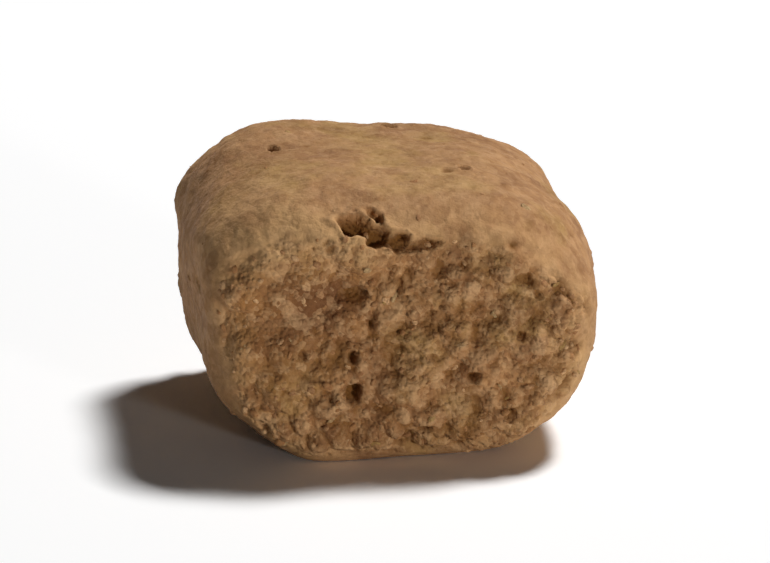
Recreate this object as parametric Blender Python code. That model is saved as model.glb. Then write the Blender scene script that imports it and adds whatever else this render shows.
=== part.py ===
"""One kibble of dry pet food, lying on its skin as it came to rest. Lengths are in metres and +Z is up.

The dough left the die as a thick rope with a rounded, leaning section, puffed up, and a knife cut it across.
The section lies in the XZ plane and the rope ran along Y, so the two cut ends face -Y, the front, and +Y, the
back. The skin runs round the rest. The origin is on the ground, below the middle of the kibble.

The smooth form is a field: the distance from each point to the surface, negative inside. A cube's points are
moved out from the middle until the field is zero, and on the cut ends they rise and sink with the crumb's
clumps. Then the pores and the flat underside are cut.
"""

import bmesh
import bpy
import numpy as np
from mathutils import Matrix, Vector

MM = 0.001

# The section, seen from the front
SECTION_WIDTH = 12.4 * MM
SECTION_HEIGHT = 8.6 * MM
TOP_LEFT_RADIUS = 2.8 * MM
TOP_RIGHT_RADIUS = 4.1 * MM
LOW_RIGHT_RADIUS = 3.6 * MM
LOW_LEFT_RADIUS = 2.9 * MM
LEFT_LEAN = 1.15 * MM
RIGHT_LEAN = 0.45 * MM
SIDE_CROWN = 0.42 * MM

# The rope between its two cuts. A slant is how far a cut shifts along Y for each unit across, and the lean
# back is how far the front cut shifts for each unit up.
CUT_LENGTH = 10.2 * MM
END_DRAW = 0.32 * MM
FRONT_CROWN = 0.55 * MM
BACK_CROWN = 0.75 * MM
FRONT_RIM_RADIUS = 1.6 * MM
BACK_RIM_RADIUS = 1.6 * MM
FRONT_SLANT = -0.045
BACK_SLANT = 0.06
FRONT_LEAN_BACK = 0.05

# How deep the rounded underside is pressed flat where the kibble rests
FLAT_DEPTH = 0.22 * MM

# Dents in the puffed dough: name, place, radius and depth. A swelling has a negative depth. A place is a
# direction from the middle, as shares of the half width, half length and half height.
DENTS = (
    ("under_the_tear", (-0.28, -1.0, 0.22), 1.7 * MM, 0.34 * MM),
    ("tear_lip_left", (-0.56, -0.92, 0.95), 0.65 * MM, -0.14 * MM),
    ("tear_lip_middle", (-0.41, -0.97, 0.84), 0.60 * MM, -0.18 * MM),
    ("tear_lip_low", (-0.27, -1.0, 0.71), 0.55 * MM, -0.20 * MM),
    ("tear_lip_right", (-0.15, -1.0, 0.60), 0.50 * MM, -0.16 * MM),
    ("front_low_right", (0.45, -1.0, -0.40), 2.2 * MM, -0.18 * MM),
    ("front_high_right", (0.70, -0.9, 0.55), 1.8 * MM, 0.16 * MM),
    ("left_side", (-1.0, -0.15, -0.15), 2.4 * MM, 0.30 * MM),
    ("left_back_top", (-1.0, 0.75, 0.70), 2.2 * MM, 0.16 * MM),
    ("top_left", (-0.25, 0.35, 1.0), 2.6 * MM, -0.16 * MM),
    ("top_right", (0.58, 0.45, 1.0), 2.8 * MM, 0.28 * MM),
    ("right_side", (1.0, 0.35, 0.05), 2.2 * MM, 0.18 * MM),
    ("right_low_front", (0.9, -0.6, -0.6), 1.7 * MM, -0.14 * MM),
    ("back_hollow", (0.20, 1.0, 0.25), 2.3 * MM, 0.42 * MM),
    ("back_low_left", (-0.55, 1.0, -0.45), 2.0 * MM, -0.22 * MM),
)

# Waves that keep every face uneven: direction in radians per half size, phase and height
WAVES = (
    ((2.2, 1.0, -1.4), 0.4, 0.060 * MM),
    ((-1.2, 2.6, 1.6), 1.9, 0.060 * MM),
    ((1.8, -1.6, 2.8), 3.1, 0.045 * MM),
    ((-3.8, -2.4, 0.8), 5.0, 0.045 * MM),
    ((1.0, 4.2, 3.2), 2.4, 0.040 * MM),
    ((4.4, 0.6, 3.8), 0.9, 0.035 * MM),
    ((8.3, 2.1, -3.6), 2.2, 0.030 * MM),
    ((-3.2, 7.4, 4.9), 4.1, 0.030 * MM),
    ((5.1, -4.4, 6.8), 0.3, 0.028 * MM),
    ((-9.6, 5.2, 2.7), 3.7, 0.024 * MM),
    ((6.9, 6.6, 7.3), 5.6, 0.022 * MM),
)

# The crumb's clumps on the two cut ends: round lumps that meet in creases. The smallest has that share of the
# largest's size, and that share of the height lies below the form. The crumb starts on the rim, where the
# distance beyond the cut is that much more than the distance beyond the skin.
CLUMP_SPACING = 1.25 * MM
CLUMP_RADIUS = 0.90 * MM
CLUMP_HEIGHT = 0.38 * MM
SMALLEST_CLUMP = 0.6
CLUMP_SUNK = 0.5
CLUMP_SEED = 5
CRUMB_STARTS = -0.60 * MM
CRUMB_FULL = 0.50 * MM

# How far the knife drew the skin over the front rim's top, and the share of the half height where that begins
SKIN_DRAWN = 0.75 * MM
DRAWN_FROM = 0.2
DRAWN_FULL = 0.8

# Holes as egg-shaped hollows: place as above, opening across, opening up, depth below the surface, and turn
# of the opening in degrees. The tear is one ragged notch, so its lobes overlap.
TEAR = (
    ((-0.28, -0.93, 0.87), 0.90 * MM, 0.84 * MM, 0.62 * MM, -22),
    ((-0.16, -0.96, 0.80), 1.10 * MM, 0.76 * MM, 0.56 * MM, -24),
    ((-0.05, -0.99, 0.75), 1.00 * MM, 0.56 * MM, 0.42 * MM, -14),
    ((-0.15, -0.90, 0.93), 0.80 * MM, 0.38 * MM, 0.34 * MM, -44),
    ((0.08, -0.99, 0.71), 1.00 * MM, 0.40 * MM, 0.24 * MM, 6),
)
FRONT_PORES = (
    ((-0.27, -1.0, -0.37), 0.70 * MM, 0.60 * MM, 0.50 * MM, 20),
    ((-0.29, -1.0, -0.13), 0.46 * MM, 0.40 * MM, 0.32 * MM, -35),
    ((0.31, -1.0, -0.27), 0.48 * MM, 0.42 * MM, 0.36 * MM, 5),
    ((-0.31, -1.0, 0.33), 0.90 * MM, 0.46 * MM, 0.28 * MM, 10),
    ((-0.04, -1.0, 0.38), 0.28 * MM, 0.62 * MM, 0.26 * MM, -8),
    ((-0.55, -1.0, -0.11), 0.40 * MM, 0.34 * MM, 0.26 * MM, 0),
    ((0.08, -1.0, -0.66), 0.44 * MM, 0.36 * MM, 0.30 * MM, 60),
    ((0.56, -1.0, 0.00), 0.38 * MM, 0.34 * MM, 0.26 * MM, -20),
    ((0.12, -1.0, -0.12), 0.36 * MM, 0.30 * MM, 0.24 * MM, 45),
    ((0.50, -1.0, -0.56), 0.44 * MM, 0.36 * MM, 0.30 * MM, 15),
)
BACK_PORES = (
    ((-0.45, 1.0, 0.30), 0.85 * MM, 0.62 * MM, 0.55 * MM, 25),
    ((-0.30, 1.0, 0.42), 0.50 * MM, 0.44 * MM, 0.40 * MM, -10),
    ((0.40, 1.0, -0.35), 0.66 * MM, 0.52 * MM, 0.50 * MM, -30),
    ((0.05, 1.0, 0.00), 0.46 * MM, 0.40 * MM, 0.34 * MM, 10),
    ((0.62, 1.0, 0.35), 0.42 * MM, 0.36 * MM, 0.30 * MM, 50),
    ((-0.15, 1.0, -0.55), 0.54 * MM, 0.42 * MM, 0.40 * MM, 0),
    ((-0.68, 1.0, -0.15), 0.40 * MM, 0.46 * MM, 0.28 * MM, 15),
    ((0.22, 1.0, 0.62), 0.38 * MM, 0.34 * MM, 0.26 * MM, -45),
)
SKIN_PORES = (
    ((0.38, -0.30, 1.0), 0.40 * MM, 0.34 * MM, 0.22 * MM, 0),
    ((-0.55, 0.20, 1.0), 0.36 * MM, 0.46 * MM, 0.24 * MM, 30),
    ((0.10, 0.62, 1.0), 0.50 * MM, 0.38 * MM, 0.28 * MM, -15),
    ((1.0, -0.25, 0.20), 0.44 * MM, 0.38 * MM, 0.28 * MM, 0),
    ((1.0, 0.45, -0.30), 0.50 * MM, 0.40 * MM, 0.32 * MM, 40),
    ((-1.0, -0.40, 0.25), 0.52 * MM, 0.44 * MM, 0.32 * MM, -20),
    ((-1.0, 0.40, -0.10), 0.62 * MM, 0.48 * MM, 0.40 * MM, 10),
)

# How finely the form is found: cells of a cube across, along the rope and up, smaller on the cut ends. The limit
# is the square of the share of a half size at which a crown stops growing.
CUBE_EDGE = 2.0
CELL_COUNTS = (38, 18, 29)
BISECTIONS = 40
CURVE_LIMIT = 2.5
GRADIENT_STEP = 0.02 * MM

# How the holes and the flat are cut
HOLE_DIVISION_COUNT = 2
HOLE_ROUGHNESS = 0.10
HOLE_SEED = 11
CUTTER_CLEARANCE = 3.0 * MM
WELD_DISTANCE = 0.006 * MM

HALF_WIDTH = SECTION_WIDTH / 2
HALF_LENGTH = CUT_LENGTH / 2
HALF_HEIGHT = (SECTION_HEIGHT + FLAT_DEPTH) / 2
HALF_SIZES = np.array((HALF_WIDTH, HALF_LENGTH, HALF_HEIGHT))
MIDDLE = np.array((0.0, 0.0, SECTION_HEIGHT - HALF_HEIGHT))
FARTHEST = 2 * float(np.linalg.norm(HALF_SIZES))


def section_distance(x, z):
    """Distance from the section's outline: a box whose four corners have radii of their own."""
    on_top = np.where(x > 0, TOP_RIGHT_RADIUS, TOP_LEFT_RADIUS)
    below = np.where(x > 0, LOW_RIGHT_RADIUS, LOW_LEFT_RADIUS)
    radius = np.where(z > 0, on_top, below)
    over_x = np.abs(x) - HALF_WIDTH + radius
    over_z = np.abs(z) - HALF_HEIGHT + radius
    outside = np.hypot(np.maximum(over_x, 0), np.maximum(over_z, 0))
    return outside + np.minimum(np.maximum(over_x, over_z), 0) - radius


def upright_section(x, z):
    """Undoes the lean of the two sides, which draw in towards the ground, and the crown of the four faces."""
    drop = -z / HALF_HEIGHT / 2
    shift = (LEFT_LEAN - RIGHT_LEAN) / 2 * drop
    half_width = HALF_WIDTH - (LEFT_LEAN + RIGHT_LEAN) / 2 * drop
    x = (x - shift) * HALF_WIDTH / half_width
    across = np.minimum((x / HALF_WIDTH) ** 2, CURVE_LIMIT)
    up = np.minimum((z / HALF_HEIGHT) ** 2, CURVE_LIMIT)
    x = x * HALF_WIDTH / (HALF_WIDTH - SIDE_CROWN * up)
    z = z * HALF_HEIGHT / (HALF_HEIGHT - SIDE_CROWN * across)
    return x, z


def fade(low, high, values):
    """Smooth step: 0 below low, 1 above high, and 3t^2 - 2t^3 between."""
    share = np.clip((values - low) / (high - low), 0, 1)
    return share * share * (3 - 2 * share)


def beyond_skin_and_cut(points):
    """Distances beyond the rope's skin and beyond the nearer of its two crowned, slanted cuts."""
    x, y, z = (points - MIDDLE).T
    run = np.minimum((y / HALF_LENGTH) ** 2, CURVE_LIMIT)
    drawn_x = x * HALF_WIDTH / (HALF_WIDTH - END_DRAW * run)
    drawn_z = z * HALF_HEIGHT / (HALF_HEIGHT - END_DRAW * run)
    side = section_distance(*upright_section(drawn_x, drawn_z))
    off_axis = np.minimum((x / HALF_WIDTH) ** 2 + (z / HALF_HEIGHT) ** 2, CURVE_LIMIT) / 2
    front = -y - HALF_LENGTH + FRONT_CROWN * off_axis + FRONT_SLANT * x + FRONT_LEAN_BACK * z
    back = y - HALF_LENGTH + BACK_CROWN * off_axis + BACK_SLANT * x
    return side, np.where(y < 0, front, back)


def smooth_form(points):
    """Distance outside the plain kibble: the section swept along Y, with rounded rims at its cuts."""
    side, end = beyond_skin_and_cut(points)
    rim = np.where(points[:, 1] < 0, FRONT_RIM_RADIUS, BACK_RIM_RADIUS)
    beyond = np.hypot(np.maximum(side + rim, 0), np.maximum(end + rim, 0))
    return beyond + np.minimum(np.maximum(side, end) + rim, 0) - rim


def waves(points):
    """Height of the waves: a sum of sines, each along its own direction."""
    shares = (points - MIDDLE) / HALF_SIZES
    return sum(height * np.sin(shares @ np.array(along) + phase) for along, phase, height in WAVES)


def dented_form(points):
    """Distance outside the uneven kibble: the plain one with its waves, and soft, round dents."""
    distance = smooth_form(points) - waves(points)
    for centre, radius, depth in seated_dents():
        distance = distance + depth * np.exp(-((points - centre) ** 2).sum(1) / radius**2)
    return distance


def surface_along(form, places):
    """Points where the rays from the middle through the places leave the form, found by halving."""
    rays = np.asarray(places, float) * HALF_SIZES
    rays = rays / np.linalg.norm(rays, axis=1)[:, None]
    near = np.zeros(len(rays))
    far = np.full(len(rays), FARTHEST)
    for _ in range(BISECTIONS):
        halfway = (near + far) / 2
        inside = form(MIDDLE + rays * halfway[:, None]) < 0
        near = np.where(inside, halfway, near)
        far = np.where(inside, far, halfway)
    return MIDDLE + rays * near[:, None]


def seated_dents():
    """Each dent's centre on the undented surface, its radius and its depth."""
    centres = surface_along(smooth_form, [place for _, place, _, _ in DENTS])
    return [(centre, radius, depth) for centre, (_, _, radius, depth) in zip(centres, DENTS)]


def outward_at(points):
    """The surface's outward directions at the points, from the field's slope."""
    steps = np.eye(3) * GRADIENT_STEP
    slope = np.stack([dented_form(points + step) - dented_form(points - step) for step in steps], 1)
    return slope / np.linalg.norm(slope, axis=1)[:, None]


def crumb_share(points):
    """0 on the skin and 1 on a cut end."""
    side, end = beyond_skin_and_cut(points)
    up = (points[:, 2] - MIDDLE[2]) / HALF_HEIGHT
    drawn = SKIN_DRAWN * fade(DRAWN_FROM, DRAWN_FULL, up) * (points[:, 1] < 0)
    return fade(CRUMB_STARTS, CRUMB_FULL, end - side - drawn)


def clump_seats():
    """Middles of the clumps, on a shaken grid over each cut end, and a size for each of at most 1."""
    random = np.random.default_rng(CLUMP_SEED)
    across = np.arange(-HALF_WIDTH, HALF_WIDTH, CLUMP_SPACING)
    up = np.arange(-HALF_HEIGHT, HALF_HEIGHT, CLUMP_SPACING)
    grid = np.array([(x, y, z) for y in (-HALF_LENGTH, HALF_LENGTH) for x in across for z in up])
    grid[:, (0, 2)] += CLUMP_SPACING * random.uniform(0, 1, (len(grid), 2))
    return surface_along(dented_form, grid / HALF_SIZES), random.uniform(SMALLEST_CLUMP, 1, len(grid))


def clumps(points):
    """Height of the clumps over the form: over a point the highest one counts.

    A clump's height falls with the square of the distance from its middle, and is 0 at its radius.
    """
    rise = np.zeros(len(points))
    for seat, size in zip(*clump_seats()):
        away = ((points - seat) ** 2).sum(1) / (size * CLUMP_RADIUS**2)
        rise = np.maximum(rise, size * (1 - away))
    return CLUMP_HEIGHT * (rise - CLUMP_SUNK) * crumb_share(points)


def link(mesh, name, collection):
    made = bpy.data.objects.new(name, mesh)
    collection.objects.link(made)
    return made


def clear_scene():
    for old in list(bpy.data.objects):
        bpy.data.objects.remove(old, do_unlink=True)
    for old in list(bpy.data.collections):
        bpy.data.collections.remove(old)


def new_collection(name):
    made = bpy.data.collections.new(name)
    bpy.context.scene.collection.children.link(made)
    return made


def baked_meal():
    """Matt brown, as the photograph's kibbles are in plain light."""
    material = bpy.data.materials.new("baked_meal")
    material.use_nodes = True
    shader = material.node_tree.nodes["Principled BSDF"]
    shader.inputs["Base Color"].default_value = (0.30, 0.165, 0.075, 1.0)
    shader.inputs["Roughness"].default_value = 0.85
    shader.inputs["Metallic"].default_value = 0.0
    return material


def reach_along(edge, axis):
    start, end = edge.verts
    return abs(end.co[axis] - start.co[axis])


def kibble_body(collection):
    """The puffed piece: a cube's grid of points moved out onto the dented form, and on by the clumps' height."""
    grid = bmesh.new()
    bmesh.ops.create_cube(grid, size=CUBE_EDGE)
    for axis, count in enumerate(CELL_COUNTS):
        uncut = [edge for edge in grid.edges if reach_along(edge, axis) > CUBE_EDGE / 2]
        bmesh.ops.subdivide_edges(grid, edges=uncut, cuts=count - 1)
    points = surface_along(dented_form, np.array([corner.co for corner in grid.verts]))
    points = points + outward_at(points) * clumps(points)[:, None]
    for corner, point in zip(grid.verts, points):
        corner.co = point
    bmesh.ops.recalc_face_normals(grid, faces=grid.faces[:])
    mesh = bpy.data.meshes.new("kibble")
    grid.to_mesh(mesh)
    grid.free()
    mesh.shade_smooth()
    return link(mesh, "kibble", collection)


def as_cutter(cutter):
    cutter.hide_render = True
    cutter.display_type = "WIRE"


def hole_cutter(name, hole, random, collection):
    """One hole: a lumpy ball, stretched to the opening's two widths and its depth, and sunk to its middle."""
    place, across, up, depth, turn = hole
    seat = surface_along(dented_form, [place])
    ball = bmesh.new()
    bmesh.ops.create_icosphere(ball, subdivisions=HOLE_DIVISION_COUNT, radius=1.0)
    for corner in ball.verts:
        corner.co *= 1 + HOLE_ROUGHNESS * random.uniform(-1, 1)
    mesh = bpy.data.meshes.new(name)
    ball.to_mesh(mesh)
    ball.free()
    outward = Vector(outward_at(seat)[0])
    stretch = Matrix.Diagonal((across / 2, up / 2, depth, 1.0))
    spin = Matrix.Rotation(np.radians(turn), 4, "Z")
    mesh.transform(outward.to_track_quat("Z", "Y").to_matrix().to_4x4() @ spin @ stretch)
    cutter = link(mesh, name, collection)
    cutter.location = seat[0]
    as_cutter(cutter)


def ground_cutter(collection):
    """A block below the ground, which cuts the flat that the kibble rests on."""
    block = bmesh.new()
    bmesh.ops.create_cube(block, size=1.0)
    mesh = bpy.data.meshes.new("ground_cut")
    block.to_mesh(mesh)
    block.free()
    depth = FLAT_DEPTH + CUTTER_CLEARANCE
    spread = (SECTION_WIDTH + CUTTER_CLEARANCE, CUT_LENGTH + CUTTER_CLEARANCE, depth, 1.0)
    mesh.transform(Matrix.Translation((0, 0, -depth / 2)) @ Matrix.Diagonal(spread))
    as_cutter(link(mesh, "ground_cut", collection))


def cut_away(body, cutters):
    difference = body.modifiers.new("holes_and_flat", "BOOLEAN")
    difference.operation = "DIFFERENCE"
    difference.solver = "EXACT"
    difference.operand_type = "COLLECTION"
    difference.collection = cutters
    weld = body.modifiers.new("short_edges", "WELD")
    weld.merge_threshold = WELD_DISTANCE


def main():
    clear_scene()
    parts = new_collection("pet_food_kibble")
    cutters = new_collection("cutters")
    body = kibble_body(parts)
    body.data.materials.append(baked_meal())
    random = np.random.default_rng(HOLE_SEED)
    for group, holes in (("tear", TEAR), ("front", FRONT_PORES), ("back", BACK_PORES), ("skin", SKIN_PORES)):
        for number, hole in enumerate(holes, 1):
            hole_cutter(f"{group}_hole_{number}", hole, random, cutters)
    ground_cutter(cutters)
    cut_away(body, cutters)


main()
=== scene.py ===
"""One kibble of dry pet food: its baked surface, the coarse meal in its crumb, and the stage that it lies on.

The kibble's body is one closed surface. The points of a cube's lattice give rays from its middle, and each ray
is followed to where the field of the plain form is zero. The crumb's relief then moves that point along the
field's slope: lumps, granules, grit, gas pores and the torn notch, strong on the two cut ends and weak on the
skin. What the relief did is kept on the points as attributes, which the material reads.

Lengths are in metres and +Z is up. The front cut end faces -Y, and the origin is on the ground.
"""

import math
from itertools import product

import bpy
import numpy as np
from bpy.props import FloatProperty, FloatVectorProperty, IntProperty, PointerProperty
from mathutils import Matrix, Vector


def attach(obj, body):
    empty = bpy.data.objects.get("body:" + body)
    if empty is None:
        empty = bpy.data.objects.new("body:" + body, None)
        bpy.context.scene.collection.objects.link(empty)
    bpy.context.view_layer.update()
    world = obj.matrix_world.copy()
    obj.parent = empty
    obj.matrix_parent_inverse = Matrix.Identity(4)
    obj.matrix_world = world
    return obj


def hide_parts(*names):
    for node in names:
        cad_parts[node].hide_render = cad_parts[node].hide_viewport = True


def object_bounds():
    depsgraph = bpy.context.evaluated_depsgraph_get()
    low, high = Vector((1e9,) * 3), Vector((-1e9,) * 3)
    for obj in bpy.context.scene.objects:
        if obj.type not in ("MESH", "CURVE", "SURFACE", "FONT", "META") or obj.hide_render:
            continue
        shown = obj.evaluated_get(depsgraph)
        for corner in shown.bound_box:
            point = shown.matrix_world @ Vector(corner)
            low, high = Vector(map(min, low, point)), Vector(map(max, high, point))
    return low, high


bl_info = {
    "name": "Dry food kibble",
    "version": (1, 0, 0),
    "blender": (4, 5, 0),
    "location": "View3D > Sidebar > Kibble",
    "description": "Builds one baked kibble of dry pet food with its crumb, coarse meal and stage",
    "category": "Add Mesh",
}

MM = 0.001
NODE = "kibble"
PHOTO_WIDTH, PHOTO_HEIGHT = 770, 563

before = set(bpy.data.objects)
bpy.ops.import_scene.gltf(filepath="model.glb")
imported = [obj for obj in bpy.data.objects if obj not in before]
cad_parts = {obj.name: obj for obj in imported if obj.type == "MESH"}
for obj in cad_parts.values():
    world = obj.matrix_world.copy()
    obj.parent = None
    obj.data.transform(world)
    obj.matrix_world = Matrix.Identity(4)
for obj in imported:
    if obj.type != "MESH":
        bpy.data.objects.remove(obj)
CAD_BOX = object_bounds()

# The form's dents, waves and holes, as the solid has them. A place is a direction from the middle, as shares
# of the half sizes. A dent is a place, a radius and a depth; a swelling's depth is negative.
DENTS = (
    ((-0.28, -1.0, 0.22), 1.7 * MM, 0.34 * MM),
    ((-0.56, -0.92, 0.95), 0.65 * MM, -0.14 * MM),
    ((-0.41, -0.97, 0.84), 0.60 * MM, -0.18 * MM),
    ((-0.27, -1.0, 0.71), 0.55 * MM, -0.20 * MM),
    ((-0.15, -1.0, 0.60), 0.50 * MM, -0.16 * MM),
    ((0.45, -1.0, -0.40), 2.2 * MM, -0.18 * MM),
    ((0.70, -0.9, 0.55), 1.8 * MM, 0.16 * MM),
    ((-1.0, -0.15, -0.15), 2.4 * MM, 0.30 * MM),
    ((-1.0, 0.75, 0.70), 2.2 * MM, 0.16 * MM),
    ((-0.25, 0.35, 1.0), 2.6 * MM, -0.16 * MM),
    ((0.58, 0.45, 1.0), 2.8 * MM, 0.28 * MM),
    ((1.0, 0.35, 0.05), 2.2 * MM, 0.18 * MM),
    ((0.9, -0.6, -0.6), 1.7 * MM, -0.14 * MM),
    ((0.20, 1.0, 0.25), 2.3 * MM, 0.42 * MM),
    ((-0.55, 1.0, -0.45), 2.0 * MM, -0.22 * MM),
)

# Waves of the puffed dough: direction in radians per half size, phase and height
WAVES = (
    ((2.2, 1.0, -1.4), 0.4, 0.060 * MM),
    ((-1.2, 2.6, 1.6), 1.9, 0.060 * MM),
    ((1.8, -1.6, 2.8), 3.1, 0.045 * MM),
    ((-3.8, -2.4, 0.8), 5.0, 0.045 * MM),
    ((1.0, 4.2, 3.2), 2.4, 0.040 * MM),
    ((4.4, 0.6, 3.8), 0.9, 0.035 * MM),
    ((8.3, 2.1, -3.6), 2.2, 0.030 * MM),
    ((-3.2, 7.4, 4.9), 4.1, 0.030 * MM),
    ((5.1, -4.4, 6.8), 0.3, 0.028 * MM),
    ((-9.6, 5.2, 2.7), 3.7, 0.024 * MM),
    ((6.9, 6.6, 7.3), 5.6, 0.022 * MM),
)

# Holes: place, opening across, opening up, depth and the opening's turn in degrees. The first five overlap
# and make the torn notch on the front rim.
HOLES = (
    ((-0.28, -0.93, 0.87), 0.90 * MM, 0.84 * MM, 0.62 * MM, -22),
    ((-0.16, -0.96, 0.80), 1.10 * MM, 0.76 * MM, 0.56 * MM, -24),
    ((-0.05, -0.99, 0.75), 1.00 * MM, 0.56 * MM, 0.42 * MM, -14),
    ((-0.15, -0.90, 0.93), 0.80 * MM, 0.38 * MM, 0.34 * MM, -44),
    ((0.08, -0.99, 0.71), 1.00 * MM, 0.40 * MM, 0.24 * MM, 6),
    ((-0.27, -1.0, -0.37), 0.70 * MM, 0.60 * MM, 0.50 * MM, 20),
    ((-0.29, -1.0, -0.13), 0.46 * MM, 0.40 * MM, 0.32 * MM, -35),
    ((0.31, -1.0, -0.27), 0.48 * MM, 0.42 * MM, 0.36 * MM, 5),
    ((-0.31, -1.0, 0.33), 0.90 * MM, 0.46 * MM, 0.28 * MM, 10),
    ((-0.04, -1.0, 0.38), 0.28 * MM, 0.62 * MM, 0.26 * MM, -8),
    ((-0.55, -1.0, -0.11), 0.40 * MM, 0.34 * MM, 0.26 * MM, 0),
    ((0.08, -1.0, -0.66), 0.44 * MM, 0.36 * MM, 0.30 * MM, 60),
    ((0.56, -1.0, 0.00), 0.38 * MM, 0.34 * MM, 0.26 * MM, -20),
    ((0.12, -1.0, -0.12), 0.36 * MM, 0.30 * MM, 0.24 * MM, 45),
    ((0.50, -1.0, -0.56), 0.44 * MM, 0.36 * MM, 0.30 * MM, 15),
    ((-0.45, 1.0, 0.30), 0.85 * MM, 0.62 * MM, 0.55 * MM, 25),
    ((-0.30, 1.0, 0.42), 0.50 * MM, 0.44 * MM, 0.40 * MM, -10),
    ((0.40, 1.0, -0.35), 0.66 * MM, 0.52 * MM, 0.50 * MM, -30),
    ((0.05, 1.0, 0.00), 0.46 * MM, 0.40 * MM, 0.34 * MM, 10),
    ((0.62, 1.0, 0.35), 0.42 * MM, 0.36 * MM, 0.30 * MM, 50),
    ((-0.15, 1.0, -0.55), 0.54 * MM, 0.42 * MM, 0.40 * MM, 0),
    ((-0.68, 1.0, -0.15), 0.40 * MM, 0.46 * MM, 0.28 * MM, 15),
    ((0.22, 1.0, 0.62), 0.38 * MM, 0.34 * MM, 0.26 * MM, -45),
    ((0.38, -0.30, 1.0), 0.40 * MM, 0.34 * MM, 0.22 * MM, 0),
    ((-0.55, 0.20, 1.0), 0.36 * MM, 0.46 * MM, 0.24 * MM, 30),
    ((0.10, 0.62, 1.0), 0.50 * MM, 0.38 * MM, 0.28 * MM, -15),
    ((1.0, -0.25, 0.20), 0.44 * MM, 0.38 * MM, 0.28 * MM, 0),
    ((1.0, 0.45, -0.30), 0.50 * MM, 0.40 * MM, 0.32 * MM, 40),
    ((-1.0, -0.40, 0.25), 0.52 * MM, 0.44 * MM, 0.32 * MM, -20),
    ((-1.0, 0.40, -0.10), 0.62 * MM, 0.48 * MM, 0.40 * MM, 10),
)

# Patches of the front cut that were smeared smooth by the knife: place, radius and how much relief goes
SMEARS = (
    ((-0.74, -1.0, 0.05), 1.9 * MM, 0.75),
    ((-0.70, -1.0, 0.50), 1.3 * MM, 0.75),
    ((-0.30, -1.0, 0.48), 1.2 * MM, 0.60),
    ((0.75, -0.8, 0.70), 1.2 * MM, 0.40),
)

# Patches of painted shade, partly crumb that baked darker and partly shaded hollows such as the one under the tear,
# and patches of painted highlight where the rims and the tear's lip catch the light: place, radius and strength
ROASTED_AND_SHADED = (
    ((-0.50, -1.0, 0.20), 0.90 * MM, 1.00),
    ((-0.34, -1.0, 0.34), 0.80 * MM, 0.60),
    ((-0.72, -1.0, -0.05), 1.10 * MM, 0.60),
    ((-0.70, -1.0, 0.45), 1.00 * MM, 0.55),
    ((-0.10, -1.0, -0.39), 1.60 * MM, 0.38),
    ((0.02, -1.0, -0.72), 0.80 * MM, 0.20),
)
# Painted highlights on the upper left rim, the tear's lip and the lower right rim, paler as if lit
PAINTED_HIGHLIGHTS = (
    ((-0.50, -0.94, 0.88), 0.75 * MM, 1.40),
    ((-0.36, -1.0, 0.76), 0.55 * MM, 1.30),
    ((-0.22, -1.0, 0.65), 0.45 * MM, 1.10),
    ((-0.72, -0.92, 0.78), 0.90 * MM, 1.30),
    ((-0.94, -0.60, 0.72), 1.00 * MM, 1.20),
    ((-0.75, -0.45, 0.95), 1.20 * MM, 0.80),
    ((0.80, -0.87, -0.30), 1.30 * MM, 1.10),
    ((0.17, -0.49, 1.0), 1.80 * MM, 0.50),
    ((0.02, -1.0, 0.25), 0.90 * MM, 0.40),
)

LATTICE_SEED = 7
CORNERS = np.array(list(product((0, 1), repeat=3)))
NEIGHBOURS = np.array(list(product((-1, 0, 1), repeat=3)))


def length(name, default, description):
    return FloatProperty(name=name, description=description, default=default, unit="LENGTH", precision=6)


def share(name, default, description):
    return FloatProperty(name=name, description=description, default=default, precision=3)


def count(name, default, description):
    return IntProperty(name=name, description=description, default=default, min=0)


def colour(name, default, description):
    return FloatVectorProperty(
        name=name, description=description, default=default, size=3, min=0, max=1, subtype="COLOR"
    )


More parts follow.
